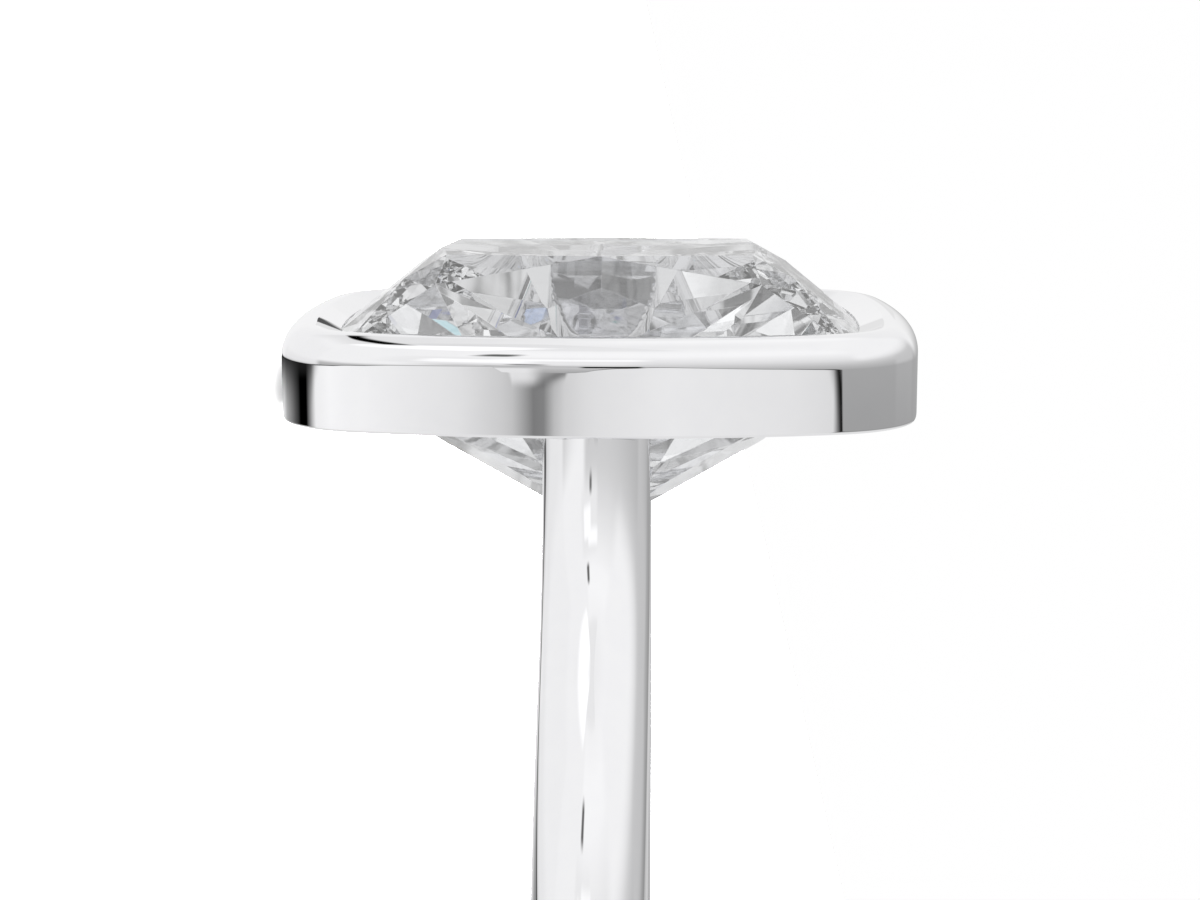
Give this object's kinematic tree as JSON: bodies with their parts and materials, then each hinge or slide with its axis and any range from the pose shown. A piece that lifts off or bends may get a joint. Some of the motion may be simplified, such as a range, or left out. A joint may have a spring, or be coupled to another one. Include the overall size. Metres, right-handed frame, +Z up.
{
  "type": "bezel set ring",
  "caption": "Finger ring lying on its side: polished white metal shank with arms curving up to a cushion shaped bezel that holds an elongated cushion cut clear stone.",
  "frame": {"origin": "centre of the bounding box's bottom, on the surface that the ring lies on", "axes": "+Z up, -X towards the stone's table, +X towards the far side of the hoop; the ring is the same on both sides of Y = 0, and its finger axis leans 12.8 degrees from +Z towards +X"},
  "size_m": [0.024, 0.0202, 0.0111],
  "materials": {
    "polished_metal": "mirror polished white gold",
    "clear_stone": "faceted and polished"
  },
  "bodies": {
    "root": {"ring_setting": "polished_metal", "center_stone": "clear_stone"}
  },
  "joints": []
}
